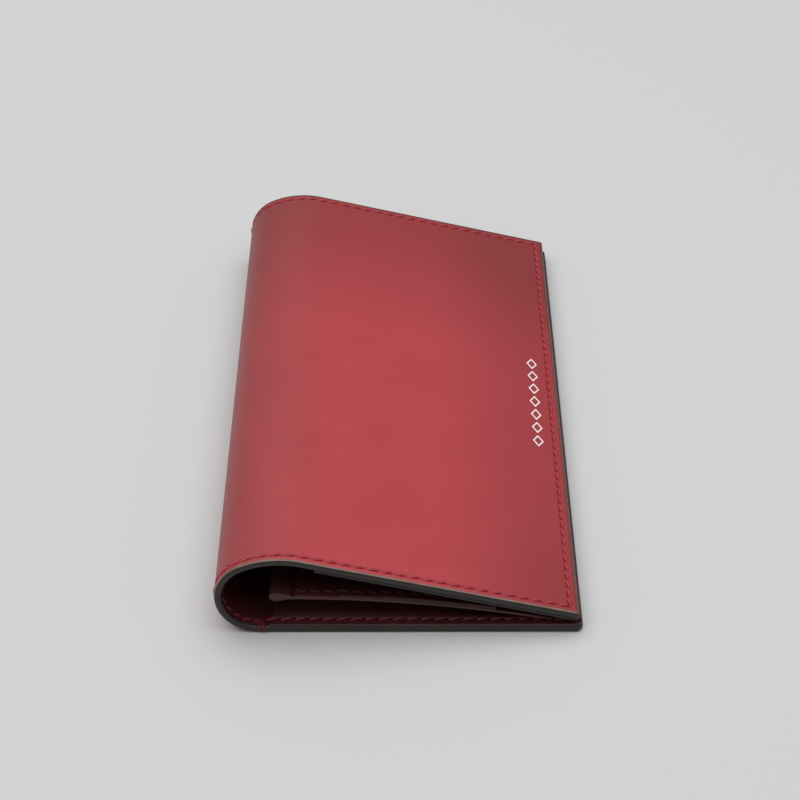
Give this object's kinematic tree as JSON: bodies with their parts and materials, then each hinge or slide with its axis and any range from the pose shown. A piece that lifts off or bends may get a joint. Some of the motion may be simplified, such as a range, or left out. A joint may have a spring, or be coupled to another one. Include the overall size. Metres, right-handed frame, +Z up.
{
  "type": "passport wallet",
  "caption": "Long folding leather travel wallet with a rolled spine, saddle-stitched edges, inner passport and ticket pockets and a gusseted card leaf.",
  "frame": {"origin": "under the middle of the closed wallet, on the surface it lies on", "axes": "+X from the rolled spine to the free edge, +Y along the length, +Z up through both covers"},
  "size_m": [0.1002, 0.1968, 0.0253],
  "materials": {
    "outer_leather": "semi-gloss pebbled grain",
    "inner_leather": "satin smooth grain",
    "thread": "waxed polyester thread",
    "edge_paint": "rounded painted leather edge",
    "foil": "pale stamped foil"
  },
  "bodies": {
    "back_cover": {"back_cover_leather": "outer_leather", "back_cover_lining": "inner_leather", "back_pocket_panel": "inner_leather", "leaf_root_strip": "inner_leather", "back_cover_stitching": "thread", "pocket_mouth_wraps": "thread", "near_gusset": "inner_leather", "far_gusset": "inner_leather"},
    "front_cover": {"front_cover_leather": "outer_leather", "front_cover_lining": "inner_leather", "passport_panel": "inner_leather", "ticket_panel": "inner_leather", "front_cover_stitching": "thread", "foil_ornament": "foil"},
    "card_leaf": {"leaf_base": "inner_leather", "card_slot_1": "inner_leather", "card_slot_2": "inner_leather", "card_slot_3": "inner_leather", "leaf_edge_binding": "inner_leather"},
    "spine_section_1": {"spine_leather_1": "outer_leather", "spine_lining_1": "inner_leather", "spine_stitching_1": "thread"},
    "spine_section_2": {"spine_leather_2": "outer_leather", "spine_lining_2": "inner_leather", "spine_stitching_2": "thread"},
    "spine_section_3": {"spine_leather_3": "outer_leather", "spine_lining_3": "inner_leather", "spine_stitching_3": "thread"},
    "spine_section_4": {"spine_leather_4": "outer_leather", "spine_lining_4": "inner_leather", "spine_stitching_4": "thread"},
    "spine_section_5": {"spine_leather_5": "outer_leather", "spine_lining_5": "inner_leather", "spine_stitching_5": "thread"},
    "spine_section_6": {"spine_leather_6": "outer_leather", "spine_lining_6": "inner_leather", "spine_stitching_6": "thread"}
  },
  "joints": [
    {"name": "spine_hinge_1", "type": "hinge", "parent": "back_cover", "child": "spine_section_1", "pos_m": [-0.03815, 0, 0], "axis": [0, -1, 0], "range_deg": [0, 18.79], "stiffness_Nm_per_rad": 0.3},
    {"name": "spine_hinge_2", "type": "hinge", "parent": "spine_section_1", "child": "spine_section_2", "pos_m": [-0.04566, 0, 0.00264], "axis": [0, -1, 0], "range_deg": [0, 37.59], "stiffness_Nm_per_rad": 0.3},
    {"name": "spine_hinge_3", "type": "hinge", "parent": "spine_section_2", "child": "spine_section_3", "pos_m": [-0.04987, 0, 0.0094], "axis": [0, -1, 0], "range_deg": [0, 37.59], "stiffness_Nm_per_rad": 0.3},
    {"name": "spine_hinge_4", "type": "hinge", "parent": "spine_section_3", "child": "spine_section_4", "pos_m": [-0.04891, 0, 0.01731], "axis": [0, -1, 0], "range_deg": [0, 37.59], "stiffness_Nm_per_rad": 0.3},
    {"name": "spine_hinge_5", "type": "hinge", "parent": "spine_section_4", "child": "spine_section_5", "pos_m": [-0.04322, 0, 0.02288], "axis": [0, -1, 0], "range_deg": [0, 28.13], "stiffness_Nm_per_rad": 0.3},
    {"name": "spine_hinge_6", "type": "hinge", "parent": "spine_section_5", "child": "spine_section_6", "pos_m": [-0.03484, 0, 0.02518], "axis": [0, -1, 0], "range_deg": [0, 18.67], "stiffness_Nm_per_rad": 0.3},
    {"name": "spine_hinge_7", "type": "hinge", "parent": "spine_section_6", "child": "front_cover", "pos_m": [-0.02616, 0, 0.02459], "axis": [0, -1, 0], "range_deg": [0, 9.34], "stiffness_Nm_per_rad": 0.3},
    {"name": "leaf_hinge", "type": "hinge", "parent": "back_cover", "child": "card_leaf", "pos_m": [0.04185, 0, 0.003], "axis": [0, 1, 0], "range_deg": [-4.5, 3.5], "stiffness_Nm_per_rad": 0.4, "springref_deg": 1.2, "deforming": ["near_gusset", "far_gusset"]}
  ]
}
